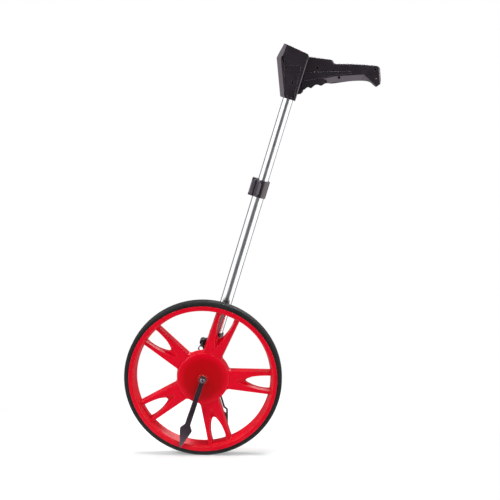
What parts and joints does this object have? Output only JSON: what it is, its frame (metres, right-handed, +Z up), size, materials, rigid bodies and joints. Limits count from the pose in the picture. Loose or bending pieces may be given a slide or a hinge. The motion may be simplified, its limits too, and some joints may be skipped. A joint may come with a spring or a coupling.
{
  "type": "measuring wheel",
  "caption": "Hand-pushed distance measuring wheel with a leaning telescopic pole, kickstand, pointer and a display head with a pistol-style hand grip",
  "frame": {"origin": "the point on the ground where the tyre touches it, straight below the axle and on the wheel's centre plane", "axes": "+Z up; +X level, in the plane of the wheel, from the wheel towards the hand grip; +Y along the axle, from the pointer side of the wheel to the side the pole stands on"},
  "size_m": [0.5086, 0.0903, 0.8259],
  "materials": {
    "red_plastic": "moulded satin gloss",
    "red_plastic_back": "moulded satin",
    "tyre": "moulded, matt sides",
    "zinc_screw": "bright zinc plate",
    "magnet": "nickel plate",
    "bearing_steel": "ground and polished",
    "aluminium": "machined",
    "spring_steel": "rolled strip",
    "nylon_cage": "moulded",
    "black_plastic": "fine moulded grain",
    "circuit_board": "solder mask",
    "bright_aluminium": "polished, bright anodised",
    "grey_plastic": "fine moulded grain",
    "cable_black": "extruded jacket",
    "black_wire": "satin powder coat",
    "rubber": "dipped",
    "dark_screw": "black oxide",
    "bezel_plastic": "moulded satin",
    "display_window": "polished, smoke tint",
    "lcd_glass": "flat film",
    "switch_plastic": "moulded",
    "key_red": "silicone",
    "key_grey": "silicone",
    "battery_sleeve": "printed sleeve"
  },
  "bodies": {
    "frame": {"axle": "zinc_screw", "front_sleeve": "aluminium", "friction_washer": "nylon_cage", "pointer_washer": "zinc_screw", "pointer_screw": "zinc_screw", "axle_washer": "zinc_screw", "axle_nut": "zinc_screw", "bearing_inner_rings": "bearing_steel", "inner_spacer": "aluminium", "frame_socket": "black_plastic", "socket_screw": "zinc_screw", "sensor_cover": "black_plastic", "sensor_board": "circuit_board", "sensor_screw": "zinc_screw", "lower_tube": "bright_aluminium", "collar_bush": "nylon_cage", "clamp_collar": "black_plastic", "clamp_bolt": "zinc_screw", "clamp_nut": "zinc_screw", "coiled_cord": "cable_black", "stand_clip": "black_plastic", "clip_screw": "zinc_screw"},
    "wheel": {"wheel_body": "red_plastic", "tyre": "tyre", "hub_back_cover": "red_plastic_back", "cover_screws": "zinc_screw", "encoder_magnets": "magnet", "bearing_outer_rings": "bearing_steel", "outer_spacer": "aluminium", "hub_circlip": "spring_steel"},
    "bearing_ball_sets": {"bearing_balls": "bearing_steel", "ball_cages": "nylon_cage"},
    "pointer": {"pointer_arrow": "black_plastic"},
    "lever": {"clamp_lever": "grey_plastic", "lever_pin": "zinc_screw"},
    "stand": {"kickstand_wire": "black_wire", "kickstand_foot": "rubber"},
    "pole": {"upper_tube": "bright_aluminium", "tube_end_bush": "nylon_cage", "upper_cord": "cable_black", "housing_near": "black_plastic", "housing_far": "black_plastic", "housing_screws": "dark_screw", "pole_screw": "dark_screw", "display_bezel": "bezel_plastic", "display_window": "display_window", "lcd_panel": "lcd_glass", "circuit_board": "circuit_board", "board_screws": "zinc_screw", "tact_switches": "switch_plastic", "battery_cells": "battery_sleeve", "battery_contacts": "spring_steel", "door_pin": "spring_steel"},
    "power_key": {"power_button": "key_red"},
    "reset_key": {"reset_button": "key_grey"},
    "unit_key": {"unit_button": "key_grey"},
    "door": {"battery_door": "black_plastic"}
  },
  "joints": [
    {"name": "wheel_spin", "type": "hinge", "parent": "frame", "child": "wheel", "pos_m": [0, 0, 0.15915], "axis": [0, 1, 0], "continuous": true},
    {"name": "bearing_ball_orbit", "type": "hinge", "parent": "frame", "child": "bearing_ball_sets", "pos_m": [0, 0, 0.15915], "axis": [0, 1, 0], "continuous": true},
    {"name": "pointer_turn", "type": "hinge", "parent": "frame", "child": "pointer", "pos_m": [0, 0, 0.15915], "axis": [0, 1, 0], "continuous": true},
    {"name": "pole_slide", "type": "slide", "parent": "frame", "child": "pole", "axis": [0.289, 0, 0.9573], "range_m": [-0.165, 0.12]},
    {"name": "clamp_lever_flip", "type": "hinge", "parent": "frame", "child": "lever", "pos_m": [0.09826, 0.0245, 0.54481], "axis": [-0.289, 0, -0.9573], "range_deg": [0, 90]},
    {"name": "stand_fold", "type": "hinge", "parent": "frame", "child": "stand", "pos_m": [-0.00296, 0.036, 0.22617], "axis": [0, -1, 0], "range_deg": [0, 140]},
    {"name": "power_button_press", "type": "slide", "parent": "pole", "child": "power_key", "axis": [-0.4085, 0, -0.9128], "range_m": [0, 0.001], "stiffness_N_per_m": 600},
    {"name": "reset_button_press", "type": "slide", "parent": "pole", "child": "reset_key", "axis": [-0.4085, 0, -0.9128], "range_m": [0, 0.001], "stiffness_N_per_m": 600},
    {"name": "unit_button_press", "type": "slide", "parent": "pole", "child": "unit_key", "axis": [-0.4085, 0, -0.9128], "range_m": [0, 0.001], "stiffness_N_per_m": 600},
    {"name": "battery_door_open", "type": "hinge", "parent": "pole", "child": "door", "pos_m": [0.24831, 0.036, 0.79357], "axis": [0, 1, 0], "range_deg": [0, 80]}
  ],
  "couplings": [
    {"joint": "bearing_ball_orbit", "follows": "wheel_spin", "ratio": 0.632}
  ]
}
